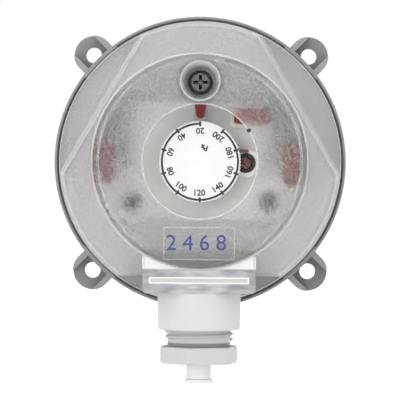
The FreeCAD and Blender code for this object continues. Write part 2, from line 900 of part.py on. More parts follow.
def lever_pin():
    """Pin that carries the lever between the carrier's ears."""
    return rod(pin_r, -pin_reach, pin_reach, lever_pivot_x, pivot_depth)


def lever_spring():
    """Small spring that holds the lever on its resting contact."""
    low = lever_depth + lever_thickness + 0.05
    high = carrier_depth - 0.05
    return coil(lever_spring_r, lever_spring_wire, lever_spring_turns, low, high, lever_spring_x)


def fixed_contact_nc():
    """Resting contact on the partition, with a riser up to the carrier."""
    top = lever_depth - contact_height - 0.05
    end = contact_foot_overhang - contact_foot_length
    foot = block(contact_x, contact_foot_overhang - contact_foot_length / 2, contact_strip_width,
                 contact_foot_length, partition_front, partition_front + contact_strip)
    button = disc(contact_r, partition_front, top, contact_x)
    riser = block(contact_x, end + contact_strip / 2, contact_strip_width, contact_strip, partition_front,
                  carrier_depth)
    return fused([foot, button, riser])


def fixed_contact_no():
    """Working contact under the carrier."""
    lift = (contact_x - lever_pivot_x) * stroke / lever_arm
    tilt = contact_r * stroke / lever_arm
    low = lever_depth + lever_thickness + contact_height + lift + tilt + 0.1
    strip_low = carrier_depth - contact_strip
    foot = block(contact_x, contact_foot_length / 2 - contact_foot_overhang, contact_strip_width,
                 contact_foot_length, strip_low, carrier_depth)
    button = disc(contact_r, low, strip_low + 0.1, contact_x)
    return fused([foot, button])


def calibration_bush():
    """Black adjusting bush with a socket in its front."""
    low = bush_top - bush_height
    body = disc(bush_r, low, bush_top - 0.3, bush_x, bush_z)
    socket = disc(bush_socket_r, bush_top - bush_socket_depth, bush_top + 1, bush_x, bush_z)
    slot = block(bush_x, bush_z, 1.0, 2 * bush_r + 1, bush_top - 1.2, bush_top + 1)
    return body.cut(socket).cut(slot)


def lacquer_seal():
    """Red sealing lacquer: a drop in the bush and one over the collar's edge."""
    low = bush_top - bush_socket_depth
    drop = turned([
        (0, low),
        (bush_socket_r, low),
        (bush_socket_r, low + lacquer_height * 0.8, 0.3),
        (0, low + lacquer_height),
    ], bush_x, bush_z)
    smear = block(bush_x - 0.9, bush_z + bush_r + bush_wall / 2, smear_length, smear_width, bush_top,
                  bush_top + lacquer_height / 2, smear_width * 0.45)
    return Part.makeCompound([drop, smear])


def setpoint_pointer():
    """Red wedge with a rounded tip that marks the set pressure."""
    top = well_z - post_r - pointer_root_gap
    tip = dial_r + pointer_gap
    half = pointer_width / 2
    end = pointer_tip_r
    corners = [(-half, top, 0.2), (-end, tip, end * 0.9), (end, tip, end * 0.9), (half, top, 0.2)]
    return plate(corners, pointer_depth, pointer_depth + pointer_thickness)


def cross_cut(depth, x, z, size):
    """Cross recess in the front of a screw head, narrowing inwards."""
    sections = []
    for half, thick, level in ((size, 0.45, depth + 0.1), (size * 0.35, 0.2, depth - 1.7)):
        corners = [(-half, -thick), (half, -thick), (half, thick), (-half, thick)]
        sections.append(rounded_wire(corners, lambda u, v: at(x + u, z + v, level)))
    arm = Part.makeLoft(sections, True)
    return arm.fuse(turn(arm, 90, x, z))


def pan_screw(x, z, seat, head_r, head_height, length):
    """Cross-recessed pan head screw whose head rests at the seat depth."""
    body = turned([
        (0, seat - length),
        (screw_shank_r * 0.5, seat - length),
        (screw_shank_r, seat - length + 1.4),
        (screw_shank_r, seat),
        (head_r, seat),
        (head_r, seat + head_height, head_height * 0.45),
        (0, seat + head_height),
    ], x, z)
    return body.cut(cross_cut(seat + head_height, x, z, head_r * 0.62))


# Cover with its cable entry
def cover_form(inset, low, step):
    """Turned form of the cover, flat on three sides above the step depth."""
    shoulder = cover_shoulder_r - inset
    plateau = cover_plateau_r - inset * 0.9
    front = cover_depth - inset
    form = turned([
        (0, low),
        (cover_r - inset, low),
        (cover_r - inset, cover_base + cover_skirt),
        (shoulder + 0.5, cover_shoulder_depth - inset, 1.2),
        (plateau + 0.4, cover_slope_depth - inset, 0.6),
        (plateau, front, 0.8),
        (0, front),
    ])
    for angle in (-30, -150, 90):
        form = form.cut(turn(flat_cut(flat_distance - inset * flat_wall / cover_wall, step), angle))
    return form


def flat_cut(distance, step):
    """What one flat on +X takes off the cover: the flat leans inwards from its foot to the front."""
    rise = cover_shoulder_depth - step
    slope = flat_lean / (cover_shoulder_depth - flat_step_depth)
    corners = [
        (distance, step),
        (distance + cover_r, step),
        (distance + cover_r, step + 3 * rise),
        (distance - 3 * rise * slope, step + 3 * rise),
    ]
    wire = rounded_wire(corners, lambda r, d: at(r, -cover_r, d))
    return Part.Face(wire).extrude(FreeCAD.Vector(0, 0, 2 * cover_r))


def screw_well(extra, floor_low):
    """Tapered tube of the cover screw's well, or its hollow."""
    return turned([
        (0, floor_low),
        (well_floor_r + extra, floor_low),
        (well_mouth_r + extra, cover_depth),
        (0, cover_depth),
    ], well_x, well_z)


def entry_box(inset):
    """Clear box on the cover where the cable comes in."""
    low = rim_depth + bridge_gap + inset
    middle = (box_top + box_bottom) / 2
    return block(0, middle, box_width - 2 * inset, box_top - box_bottom - 2 * inset, low, box_depth - inset,
                 1.2 if inset == 0 else 0.6)


def cover():
    outer = cover_form(0, cover_base, flat_step_depth)
    cavity = cover_form(cover_wall, cover_base - 1, flat_step_depth - cover_wall)
    box_hollow = block(0, (box_top + box_bottom) / 2 + box_wall, box_width - 2 * box_wall,
                       box_top - box_bottom, rim_depth + bridge_gap, box_depth - box_wall, 0.6)
    neck = turned_upright([
        (0, box_bottom + 1),
        (neck_r, box_bottom + 1),
        (neck_r, neck_end, 0.8),
        (0, neck_end),
    ], neck_depth)
    neck_bore = turned_upright([
        (0, neck_end - 1),
        (neck_bore_r, neck_end - 1),
        (neck_bore_r, gland_seat_z),
        (cable_hole_r, gland_seat_z),
        (cable_hole_r, box_bottom + box_wall + 1),
        (0, box_bottom + box_wall + 1),
    ], neck_depth)
    shell = fused([outer, entry_box(0), neck])
    shell = shell.cut(cavity).cut(box_hollow)
    shell = fused([shell, screw_well(well_wall, post_top)])
    shell = shell.cut(screw_well(0, well_floor_depth)).cut(neck_bore)
    shell = shell.cut(disc(screw_shank_r + 0.15, post_top - 1, well_floor_depth + 1, well_x, well_z))
    shell = shell.cut(disc(window_r, cover_depth - window_sink, cover_depth + 1))
    outer_frame = block(0, frame_z, frame_width, frame_height, cover_depth - 0.5, cover_depth + frame_raise)
    inner_frame = block(0, frame_z, frame_width - 2 * frame_line, frame_height - 2 * frame_line,
                        cover_depth, cover_depth + 1)
    plateau_edge = disc(cover_plateau_r - 1.2, cover_depth - 1, cover_depth + 1)
    return fused([shell, outer_frame.common(plateau_edge)]).cut(inner_frame)


# Cable gland
def gland_seal():
    """Rubber ring that grips the plug, or later the cable."""
    outer = neck_bore_r - seal_clearance
    return turned_upright([
        (plug_r + plug_fit, gland_seat_z),
        (outer, gland_seat_z, -0.4),
        (outer, seal_end, -0.4),
        (plug_r + plug_fit, seal_end, -0.4),
    ], neck_depth)


def gland_washer():
    """Slip washer between the seal and the gland screw."""
    outer = neck_bore_r - washer_gap
    inner = gland_bore_r
    return turned_upright([
        (inner, seal_end),
        (outer, seal_end),
        (outer, washer_end),
        (inner, washer_end),
    ], neck_depth)


def gland_screw():
    """Hollow threaded screw with a hexagon head that closes the entry."""
    threaded = turned_upright([
        (gland_bore_r, washer_end),
        (thread_r, washer_end, -0.5),
        (thread_r, hex_top + gland_undercut),
        (thread_root_r, hex_top + gland_undercut),
        (thread_root_r, hex_top - 1),
        (gland_bore_r, hex_top - 1),
    ], neck_depth)
    corner_r = hex_flats / math.sqrt(3)
    corners = []
    for i in range(6):
        angle = math.radians(-90 + hex_turn + 60 * i)
        corners.append((corner_r * math.cos(angle), corner_r * math.sin(angle)))
    face = Part.Face(Part.makePolygon(
        [FreeCAD.Vector(u, v - neck_depth, hex_end) for u, v in corners + corners[:1]]))
    head = face.extrude(FreeCAD.Vector(0, 0, hex_height))
    crown = turned_upright([
        (gland_bore_r, hex_end),
        (corner_r - 0.9, hex_end),
        (corner_r - 0.15, hex_end + 0.7),
        (corner_r - 0.15, hex_top - 0.5),
        (corner_r - 0.7, hex_top),
        (gland_bore_r, hex_top),
    ], neck_depth)
    return fused([threaded, head.common(crown)])


def gland_plug():
    """Hollow push-in plug that keeps dirt out until the cable is fitted."""
    top = gland_seat_z + 1.0
    inner = plug_r - plug_wall
    return turned_upright([
        (0, top),
        (plug_r, top, -0.4),
        (plug_r, plug_end + plug_flange),
        (plug_flange_r, plug_end + plug_flange - 0.4),
        (plug_flange_r, plug_end, 0.2),
        (inner, plug_end),
        (inner, top - plug_wall),
        (0, top - plug_wall),
    ], neck_depth)


def all_pieces():
    """Every separate piece of the switch, by its name."""
    pieces = {
        "rear_housing": rear_housing(),
        "front_housing": front_housing(),
        "diaphragm": diaphragm(),
        "diaphragm_plate": diaphragm_plate(),
        "backing_washer": backing_washer(),
        "plunger": plunger(),
        "spring_seat": spring_seat(),
        "range_spring": range_spring(),
        "adjusting_spindle": adjusting_spindle(),
        "spindle_seal": spindle_seal(),
        "dial": dial(),
        "contact_carrier": contact_carrier(),
        "contact_lever": contact_lever(),
        "lever_pin": lever_pin(),
        "lever_spring": lever_spring(),
        "fixed_contact_nc": fixed_contact_nc(),
        "fixed_contact_no": fixed_contact_no(),
        "calibration_bush": calibration_bush(),
        "lacquer_seal": lacquer_seal(),
        "setpoint_pointer": setpoint_pointer(),
        "cover": cover(),
        "cover_screw": pan_screw(well_x, well_z, well_floor_depth, cover_screw_head_r,
                                 cover_screw_head_height, cover_screw_length),
        "gland_seal": gland_seal(),
        "gland_washer": gland_washer(),
        "gland_screw": gland_screw(),
        "gland_plug": gland_plug(),
    }
    for side, (x, z) in zip(("left", "right"), post_sites):
        pieces["carrier_screw_" + side] = pan_screw(x, z, carrier_front, screw_head_r, screw_head_height,
                                                    carrier_front - partition_front + screw_bite)
    for site, sizes in terminal_sites.items():
        pieces["terminal_blade_" + site] = terminal_blade(*sizes)
        pieces["terminal_clamp_" + site] = terminal_clamp(*sizes)
        pieces["clamp_screw_" + site] = clamp_screw(*sizes)
    return pieces


os.makedirs("parts", exist_ok=True)
for name, shape in all_pieces().items():
    print(name, len(shape.Solids), shape.isValid(), round(shape.Volume, 1))
    shape.exportStep("parts/" + name + ".step")
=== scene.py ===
# %% [markdown]
# # A differential pressure switch
# The switch is a round grey housing that screws to an air duct. A clear cover, frosted all over except for a
# round window and the cable entry, lets the white setting dial show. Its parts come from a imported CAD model
# at real size, and this file gives them their surfaces, adds the print, the thread and the stamp, and sets up
# the light and the camera. Everything is in metres: X to the right, Z up, and the front faces -Y.

# %% Load the parts
import json
import math

import bmesh
import bpy
from mathutils import Matrix, Vector


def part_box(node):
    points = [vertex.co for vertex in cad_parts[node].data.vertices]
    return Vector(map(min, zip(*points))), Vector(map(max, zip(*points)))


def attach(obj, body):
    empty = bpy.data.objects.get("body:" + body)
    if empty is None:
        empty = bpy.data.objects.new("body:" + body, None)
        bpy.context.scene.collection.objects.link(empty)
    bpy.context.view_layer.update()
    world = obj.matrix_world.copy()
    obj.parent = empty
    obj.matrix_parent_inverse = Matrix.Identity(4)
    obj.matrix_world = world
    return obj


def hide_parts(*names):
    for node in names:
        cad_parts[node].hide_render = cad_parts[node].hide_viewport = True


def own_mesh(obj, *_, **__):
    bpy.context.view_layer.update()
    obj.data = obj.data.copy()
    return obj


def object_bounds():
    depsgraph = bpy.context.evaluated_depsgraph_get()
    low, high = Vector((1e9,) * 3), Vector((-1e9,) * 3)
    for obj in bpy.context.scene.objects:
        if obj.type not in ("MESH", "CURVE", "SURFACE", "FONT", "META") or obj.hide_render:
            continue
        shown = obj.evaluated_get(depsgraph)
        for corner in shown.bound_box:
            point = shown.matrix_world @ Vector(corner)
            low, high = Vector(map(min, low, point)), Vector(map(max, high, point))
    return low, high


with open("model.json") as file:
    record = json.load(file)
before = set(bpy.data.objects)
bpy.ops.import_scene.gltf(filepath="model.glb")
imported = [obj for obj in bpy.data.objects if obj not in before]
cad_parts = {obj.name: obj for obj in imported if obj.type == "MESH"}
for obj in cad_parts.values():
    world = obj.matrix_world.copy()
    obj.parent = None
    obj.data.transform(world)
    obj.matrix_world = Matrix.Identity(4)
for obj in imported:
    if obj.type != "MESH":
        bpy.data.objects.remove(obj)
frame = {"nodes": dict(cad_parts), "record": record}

MM = 0.001
cad_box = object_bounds()
scene = bpy.context.scene
nodes = frame["nodes"]
body_of = {n: body for body, names in frame["record"]["behaviour"]["bodies"].items() for n in names}
print("parts", len(nodes), "box in mm", [round(v / MM, 1) for corner in cad_box for v in corner])

# %% [markdown]
# ## Places that the surfaces and the print need
# Most places are read from the parts' own boxes, so the print and the masks stay in place if a part moves.
# The others are the cover's own sizes, seen from the front: the window, the plateau round it, the clear cable
# entry, the neck below it and the raised frame. A depth is a distance in front of the wall, so it lies at
# minus Y.


# %% Places on the parts
def front_depth(node):
    """Largest depth of a part in front of the wall."""
    return -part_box(node)[0].y


def middle_of(node):
    """Middle of a part's box, as three numbers."""
    low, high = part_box(node)
    return [(a + b) / 2 for a, b in zip(low, high)]


dial_front = front_depth("dial")
gland_low, gland_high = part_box("gland_screw")
gland_axis_y = middle_of("gland_screw")[1]
screw_x, _, screw_z = middle_of("carrier_screw_right")
well_z = middle_of("cover_screw")[2]
window_r = 16.35 * MM
plateau_r = 30.6 * MM
entry_half = 16.0 * MM
neck_top = 37.3 * MM
frame_z = -23.2 * MM
frame_half_width = 10.2 * MM
frame_half_height = 4.7 * MM
frame_rise = 0.3 * MM
cover_front = front_depth("cover") - frame_rise
face_front = Matrix.Rotation(math.pi / 2, 4, "X")
print("depth of the dial in mm", round(dial_front / MM, 2), "and of the cover", round(cover_front / MM, 2))

# %% [markdown]
# ## Writing shader maths as Python
# A finish is a small network of nodes. Wiring each sum by hand hides what it means, so one class wraps an
# output socket and lets it be added, multiplied and compared like a number. Each operator adds its Math node.


# %% Signals
class Signal:
    """One output of a node, on which sums can be written."""

    def __init__(self, finish, socket):
        self.finish = finish
        self.socket = socket

    def maths(self, operation, first, second):
        return self.finish.add("ShaderNodeMath", {"operation": operation}, {0: first, 1: second})

    def __add__(self, other):
        return self.maths("ADD", self, other)

    def __sub__(self, other):
        return self.maths("SUBTRACT", self, other)

    def __rsub__(self, other):
        return self.maths("SUBTRACT", other, self)

    def __mul__(self, other):
        return self.maths("MULTIPLY", self, other)

    def __lt__(self, other):
        return self.maths("LESS_THAN", self, other)

    __radd__ = __add__
    __rmul__ = __mul__

    def larger(self, other):
        return self.maths("MAXIMUM", self, other)

    def size(self):
        return self.maths("ABSOLUTE", self, 0)

    def ramp(self, low, high):
        """Rises smoothly from 0 at low to 1 at high."""
        settings = {"interpolation_type": "SMOOTHSTEP"}
        return self.finish.add("ShaderNodeMapRange", settings, {0: self, 1: low, 2: high, 3: 0, 4: 1})


# %% [markdown]
# ## Finishes
# Every node that isn't a sum comes from one method, which sets the node's options first and its sockets
# after. On top of it stand short methods for what most finishes share: coordinates, noise, a colour that
# drifts a little, a second colour laid over the first by a mask, and a bump.


# %% Finishes
class Finish:
    """A material, or the world, with the nodes that make it."""

    def __init__(self, name, owner=None, **surface):
        self.owner = owner or bpy.data.materials.new(name)
        self.owner.use_nodes = True
        self.tree = self.owner.node_tree
        if owner is None:
            self.surface = self.tree.nodes["Principled BSDF"]
            self.fill(self.surface, {key.replace("_", " "): value for key, value in surface.items()})

    def fill(self, node, sockets):
        """Sets values on a node's sockets, or links signals to them."""
        for key, value in sockets.items():
            socket = node.inputs[key]
            if isinstance(value, Signal):
                self.tree.links.new(value.socket, socket)
            elif isinstance(value, (tuple, list)) and socket.type == "RGBA":
                socket.default_value = tuple(value)[:3] + (1.0,)
            else:
                socket.default_value = value

    def add(self, kind, settings=None, sockets=None, output=0):
        """Adds a node of that type and gives one of its outputs."""
        node = self.tree.nodes.new(kind)
        for key, value in (settings or {}).items():
            setattr(node, key, value)
        self.fill(node, sockets or {})
        return Signal(self, node.outputs[output])

    def place(self):
        """Object coordinates, in metres in the switch's own frame."""
        return self.add("ShaderNodeTexCoord", output="Object")

    def xyz(self, vector):
        """The three coordinates of a vector as separate signals."""
        split = self.add("ShaderNodeSeparateXYZ", sockets={0: vector})
        return [Signal(self, socket) for socket in split.socket.node.outputs]

    def distance(self, across, up):
        """Distance from an axis along Y, from the offsets to it along X and Z."""
        offset = self.add("ShaderNodeCombineXYZ", {}, {0: across, 2: up})
        return self.add("ShaderNodeVectorMath", {"operation": "LENGTH"}, {0: offset}, 1)

    def noise(self, size, detail=2.0, roughness=0.5, vector=None):
        """Soft random field, about 0.5 on average, whose blotches are about that size."""
        sockets = {
            "Vector": vector or self.place(), "Scale": 1 / size, "Detail": detail, "Roughness": roughness,
        }
        return self.add("ShaderNodeTexNoise", {}, sockets, "Fac")

    def mixed(self, first, second, share):
        """Colour between two colours. Mix has its colours on sockets 6 and 7 and their mix on output 2."""
        return self.add("ShaderNodeMix", {"data_type": "RGBA"}, {0: share, 6: first, 7: second}, 2)

    def varied(self, colour, spread, size):
        """Base colour that drifts slightly lighter and darker over the piece."""
        darker = [c * (1 - spread) for c in colour]
        lighter = [min(1.0, c * (1 + spread)) for c in colour]
        self.fill(self.surface, {"Base Color": self.mixed(darker, lighter, self.noise(size))})

    def toned(self, colour, share):
        """Lays another colour over the base colour, by a share from 0 to 1."""
        present = Signal(self, self.surface.inputs["Base Color"].links[0].from_socket)
        self.fill(self.surface, {"Base Color": self.mixed(present, colour, share)})

    def bump(self, height, distance):
        """Tilts the surface by a height field that is that many metres deep."""
        sockets = {"Height": height, "Distance": distance, "Strength": 1.0}
        self.fill(self.surface, {"Normal": self.add("ShaderNodeBump", {}, sockets, "Normal")})

    def blend_in(self, share, shader):
        """Mixes another shader over the surface, by a share from 0 to 1."""
        own = Signal(self, self.surface.outputs[0])
        both = self.add("ShaderNodeMixShader", {}, {0: share, 1: own, 2: shader})
        self.fill(self.tree.nodes["Material Output"], {"Surface": both})

    def seen_rays(self):
        """1 for rays from the camera, in reflections and through clear plastic, and 0 for light itself."""
        path = self.add("ShaderNodeLightPath").socket.node.outputs
        camera_ray, glossy_ray, through_ray = [
            Signal(self, path["Is %s Ray" % kind]) for kind in ("Camera", "Glossy", "Transmission")
        ]
        return camera_ray.larger(glossy_ray).larger(through_ray)


def grey(value):
    """Neutral colour of that lightness."""
    return (value, value, value)


white = grey(1.0)

# %% [markdown]
# ## The camera
# The switch is seen square from the front, from a little below its middle. The perspective was read from
# how much larger the front of the cover looks than the rim behind it: the camera stands 770 mm in front of
# the rim, and a long lens makes the view 116.7 mm wide there. The lugs, the rim and the front don't lie quite
# behind one another, which puts the camera 4 mm to the right of the axis and 8 mm below it. A small shift
# frames the switch as the photograph does. The switch was hung a third of a degree askew, so the camera is
# rolled by as much.

# %% Camera
rim_depth = 32.0 * MM
camera_distance = 770.0 * MM
view_width = 116.69 * MM
camera_side = 4.0 * MM
camera_height = -8.0 * MM
camera_roll = math.radians(0.37)
camera_data = bpy.data.cameras.new("camera")
camera_data.sensor_width = 36.0
camera_data.lens = camera_data.sensor_width * camera_distance / view_width
camera_data.shift_x = -0.0343
camera_data.shift_y = -0.0254
camera_data.clip_start = 0.01
camera = bpy.data.objects.new("camera", camera_data)
scene.collection.objects.link(camera)
stand = Matrix.Translation((camera_side, -rim_depth - camera_distance, camera_height))
camera.matrix_world = stand @ face_front @ Matrix.Rotation(camera_roll, 4, "Z")
bpy.context.scene.camera = camera
bpy.context.scene.view_settings.view_transform = "Standard"
print("lens in mm", round(camera_data.lens, 1))

# %% [markdown]
# ## Light from all round
# The photograph has soft light from all round, brightest from straight above, which the sloping ring of the
# cover shows by its pale top. A world whose brightness follows the height of each direction, from -1 straight
# down to 1 straight up, gives just that. Where the world is seen itself, also in metal and through clear
# plastic, it is plain white.

# %% World
side_light = 0.67
above_light = 1.5
glow_start = 0.3
glow_full = 0.8
world = bpy.data.worlds.new("studio")
scene.world = world
sky = Finish("studio", world)
up = sky.xyz(sky.add("ShaderNodeTexCoord", output="Generated"))[2]
brightness = side_light + above_light * up.ramp(glow_start, glow_full)
seen_itself = sky.seen_rays()
strength = brightness * (1 - seen_itself) + seen_itself
sky.fill(sky.tree.nodes["Background"], {"Color": white, "Strength": strength})
print("light from the side", side_light, "and from above", side_light + above_light)

# %% [markdown]
# ## One large lamp
# The upper right of the window's recess lies in shade and its bottom doesn't, so one lamp stands on the left,
# in front. A lamp with an area gives the soft edge that the shade has, and it faces the middle of the switch.

# %% Lamp
lamp_place = Vector((-0.42, -1.1, 0.15))
lamp_target = Vector((0, -0.03, -0.02))
lamp_data = bpy.data.lights.new("low_left", "AREA")
lamp_data.shape = "RECTANGLE"
lamp_data.size = 0.6
lamp_data.size_y = 0.4
lamp_data.energy = 2.0
lamp = bpy.data.objects.new("low_left", lamp_data)
scene.collection.objects.link(lamp)
lamp_aim = (lamp_target - lamp_place).to_track_quat("-Z", "Y").to_matrix().to_4x4()
lamp.matrix_world = Matrix.Translation(lamp_place) @ lamp_aim
print("lamp at", [round(v, 2) for v in lamp_place], "with watts", lamp_data.energy)

# %% [markdown]
# ## Floor and backdrop
# The floor runs back and curves up into a wall, as a roll of studio paper does, so no corner shows. It is one
# strip: two straight runs joined by a quarter turn that spin makes. Seen by the camera, in reflections and
# through clear plastic, the wall is plain white, and the floor keeps its shadow.

# %% Paper roll
floor_z = cad_box[0].z - 12 * MM
floor_front = 1.6
wall_y = 1.3
wall_height = 1.6
cove_r = 0.3
cove_steps = 16
half_width = 1.6


def paper_roll():
    """Strip of paper: the floor, the cove and the wall, as one mesh."""
    shape = bmesh.new()
    front = [shape.verts.new((x, -floor_front, floor_z)) for x in (-half_width, half_width)]
    edge = shape.edges.new(front)
    run = bmesh.ops.extrude_edge_only(shape, edges=[edge])["geom"]
    corners = [v for v in run if isinstance(v, bmesh.types.BMVert)]
    bmesh.ops.translate(shape, verts=corners, vec=(0, floor_front + wall_y - cove_r, 0))
    edge = [e for e in run if isinstance(e, bmesh.types.BMEdge) and all(v in corners for v in e.verts)]
    turn = bmesh.ops.spin(
        shape, geom=corners + edge, cent=(0, wall_y - cove_r, floor_z + cove_r), axis=(1, 0, 0),
        angle=math.pi / 2, steps=cove_steps, use_duplicate=False,
    )["geom_last"]
    edge = [e for e in turn if isinstance(e, bmesh.types.BMEdge)]
    run = bmesh.ops.extrude_edge_only(shape, edges=edge)["geom"]
    corners = [v for v in run if isinstance(v, bmesh.types.BMVert)]
    bmesh.ops.translate(shape, verts=corners, vec=(0, 0, wall_height))
    bmesh.ops.recalc_face_normals(shape, faces=shape.faces)
    mesh = bpy.data.meshes.new("backdrop")
    shape.to_mesh(mesh)
    shape.free()
    mesh.shade_smooth()
    roll = bpy.data.objects.new("backdrop", mesh)
    scene.collection.objects.link(roll)
    return roll


backdrop = paper_roll()
paper = Finish("paper", Base_Color=grey(0.86), Roughness=0.9)
paper_height = paper.xyz(paper.place())[2]
wall_share = paper_height.ramp(floor_z, floor_z + 0.5 * cove_r) * paper.seen_rays()
paper.blend_in(wall_share, paper.add("ShaderNodeEmission", {}, {"Color": white, "Strength": 1.0}))
backdrop.data.materials.append(paper.owner)
print("floor height in mm", round(floor_z / MM, 1))

# %% [markdown]
# ## Moulded plastic
# The housing and the parts round the dial are injection moulded with a finely spark-eroded surface: matt,
# with a grain of about a tenth of a millimetre that only shows as softness. A fine noise in the bump gives
# that grain, a broader one in the roughness breaks up the sheen, and the colour drifts by a few percent as
# moulded parts do.

# %% Matt plastics
mould_grain = 0.12 * MM
mould_grain_depth = 0.012 * MM


def matt_plastic(name, colour, roughness=0.55):
    """Moulded plastic with a fine matt grain."""
    finish = Finish(name, Roughness=roughness, Specular_IOR_Level=0.4)
    finish.varied(colour, 0.03, 9 * MM)
    finish.fill(finish.surface, {"Roughness": finish.noise(2.5 * MM) * 0.16 + (roughness - 0.08)})
    finish.bump(finish.noise(mould_grain, 3.0, 0.6), mould_grain_depth)
    return finish


housing_grey = matt_plastic("housing_plastic", (0.25, 0.246, 0.239))
carrier_colour = (0.93, 0.93, 0.90)
carrier_grey = matt_plastic("carrier_plastic", carrier_colour)
dial_white = matt_plastic("dial_white", (0.93, 0.93, 0.915), 0.45)
pointer_red = matt_plastic("pointer_red", (0.24, 0.008, 0.014), 0.5)
terminal_red = matt_plastic("terminal_red", (0.22, 0.004, 0.003), 0.45)
gland_grey = matt_plastic("gland_plastic", (0.50, 0.50, 0.485), 0.42)
bush_black = matt_plastic("black_plastic", grey(0.008), 0.4)
print("grain of the moulding in mm", mould_grain / MM)

# %% [markdown]
# ## Painted light and shade on the plastics
# Through the frosting, the space round the contact carrier looks about as light as the carrier, and it gets
# darker towards the cable entry. So the inside of the housing, which is all that lies far enough in front of
# the wall and near enough to the axis, is pale, with painted light that makes its lower half lighter and
# painted shade where the wires run. The carrier gets painted shade beside the dial and a little at its top,
# and a dark line of painted shade marks the groove of the gland screw. Each zone is a mask from Object
# coordinates that lays a second colour over the first.

# %% Painted light and shade of the plastics
inside_depth = 20 * MM
inside_r = 36.5 * MM
wiring_start = 20 * MM
wiring_end = 29 * MM
groove_z = gland_low.z + 5.4 * MM

housing_across, housing_along, housing_up = housing_grey.xyz(housing_grey.place())
from_middle = housing_grey.distance(housing_across, housing_up)
deep_enough = (0 - housing_along).ramp(inside_depth, inside_depth + 2 * MM)
inside = deep_enough * (1 - from_middle.ramp(inside_r, inside_r + 1 * MM))
below = 0 - housing_up
# Painted light makes the inside lighter in its lower half, and painted shade darkens it where the wires run.
inside_light_and_shade = housing_grey.mixed((0.76, 0.76, 0.74), carrier_colour, below.ramp(0, 10 * MM))
inside_light_and_shade = housing_grey.mixed(inside_light_and_shade, (0.34, 0.34, 0.33), below.ramp(wiring_start, wiring_end))
housing_grey.toned(inside_light_and_shade, inside)

carrier_across, _, carrier_up = carrier_grey.xyz(carrier_grey.place())
# Painted shade: the carrier darkens beside the dial and a little at its top.
shade_beside_dial = carrier_across.size().ramp(16 * MM, 23 * MM) * carrier_up.ramp(-9 * MM, 3 * MM)
carrier_grey.toned((0.80, 0.80, 0.78), carrier_up.ramp(9 * MM, 16 * MM))
carrier_grey.toned((0.36, 0.36, 0.35), shade_beside_dial)

# Painted shade: a dark line where the groove under the thread lies in the head's shadow.
from_groove = (gland_grey.xyz(gland_grey.place())[2] - groove_z).size()
gland_grey.toned((0.21, 0.21, 0.205), 1 - from_groove.ramp(0.4 * MM, 0.9 * MM))
print("nodes of the housing's finish", len(housing_grey.tree.nodes))

# %% [markdown]
# ## The frosted cover
# The cover is one clear moulding. Its mould was spark-eroded everywhere except for the round window and the
# cable entry, so light is scattered in some places and passes straight in others. It is not a separate
# layer: one transparent material whose roughness and grain follow a mask. The mask is written from Object
# coordinates, because the polished places are simple shapes on the front view: a disc and a strip below.

# %% Where the cover is frosted
clear_tint = (0.985, 0.988, 0.99)
cover_clear = Finish(
    "cover_clear", Base_Color=clear_tint, Transmission_Weight=1.0, IOR=1.46, Roughness=0.3,
)
across, _, height = cover_clear.xyz(cover_clear.place())
from_axis = cover_clear.distance(across, height)
outside_window = from_axis.ramp(window_r - 0.05 * MM, window_r + 0.1 * MM)
beside_entry = across.size().ramp(entry_half, entry_half + 0.3 * MM)
above_entry = 1 - from_axis.ramp(plateau_r + 0.1 * MM, plateau_r + 0.4 * MM) * (height < 0)
frosted = outside_window * beside_entry.larger(above_entry)
on_ring = from_axis.ramp(plateau_r - 0.2 * MM, plateau_r + 0.2 * MM) * frosted
neck = (0 - height).ramp(neck_top, neck_top + 0.4 * MM)
in_box = (1 - frosted) * outside_window * (1 - neck)
print("window radius in mm", round(window_r / MM, 2), "plateau radius", round(plateau_r / MM, 2))

# %% [markdown]
# ## Painted highlights and shade on edges
# Fine edges of a clear moulding catch light, which is painted here as pale lines: the rim of the window, the
# edge of the front, the raised frame and the front edges of the three flats on the ring. Faint violet bands
# of painted shade lie along the flats and the rim. The wall of the screw's well is thick and gets painted
# light, so it looks solid and pale.


# %% Edges and flats
def line(distance, half_width):
    """1 on a line and 0 beside it, from the signed distance to the line."""
    return 1 - distance.size().ramp(half_width * 0.4, half_width)


flat_slant = math.radians(30)
flat_edge_r = 33.5 * MM
flat_shade_from = 31.7 * MM
flat_shade_to = 33.4 * MM
shade_fade = 0.3 * MM
rim_shade_r = 40.4 * MM
well_inner_r = 3.4 * MM
well_outer_r = 5.9 * MM
well_fade = 0.4 * MM

# Painted highlights: pale lines on the fine edges below.
window_rim = line(from_axis - window_r, 0.3 * MM)
front_edge = line(from_axis - plateau_r, 0.35 * MM) * above_entry
frame_gap = (across.size() - frame_half_width).larger((height - frame_z).size() - frame_half_height)
raised_frame = line(frame_gap + 0.2 * MM, 0.3 * MM)
to_flat = across.size() * math.cos(flat_slant) + height * math.sin(flat_slant)
flat_edge = line(to_flat - flat_edge_r, 0.25 * MM) * on_ring
# Painted shade: a faint violet band along each flat, and one along the rim.
shade_start = to_flat.ramp(flat_shade_from, flat_shade_from + shade_fade)
shade_end = to_flat.ramp(flat_shade_to - shade_fade, flat_shade_to)
violet_shade = (shade_start - shade_end) * on_ring
violet_shade = violet_shade.larger(from_axis.ramp(rim_shade_r, rim_shade_r + 0.5 * MM) * frosted)
# Painted light: the screw well's wall is made pale and dense, so it doesn't fall into shade.
from_well = cover_clear.distance(across, height - well_z)
inside_well_wall = from_well.ramp(well_inner_r, well_inner_r + well_fade)
well_wall_light = inside_well_wall - from_well.ramp(well_outer_r - well_fade, well_outer_r)
print("flats at", round(flat_edge_r / MM, 1), "mm from the axis")

# %% [markdown]
# ## The clear cable entry
# The entry is a polished box, and what shows through it is painted. Its top gets painted light, nearly white,
# with a line of painted shade down each side, and a band below shows uneven grey and violet ripples, a
# painted copy of what the thick clear walls bend into view. A bar with a bright painted outline crosses the
# band.

# %% Cable entry
band_start = 30.2 * MM
bar_drop = 33.7 * MM
bar_half_height = 0.75 * MM
bar_reach = 13.2 * MM

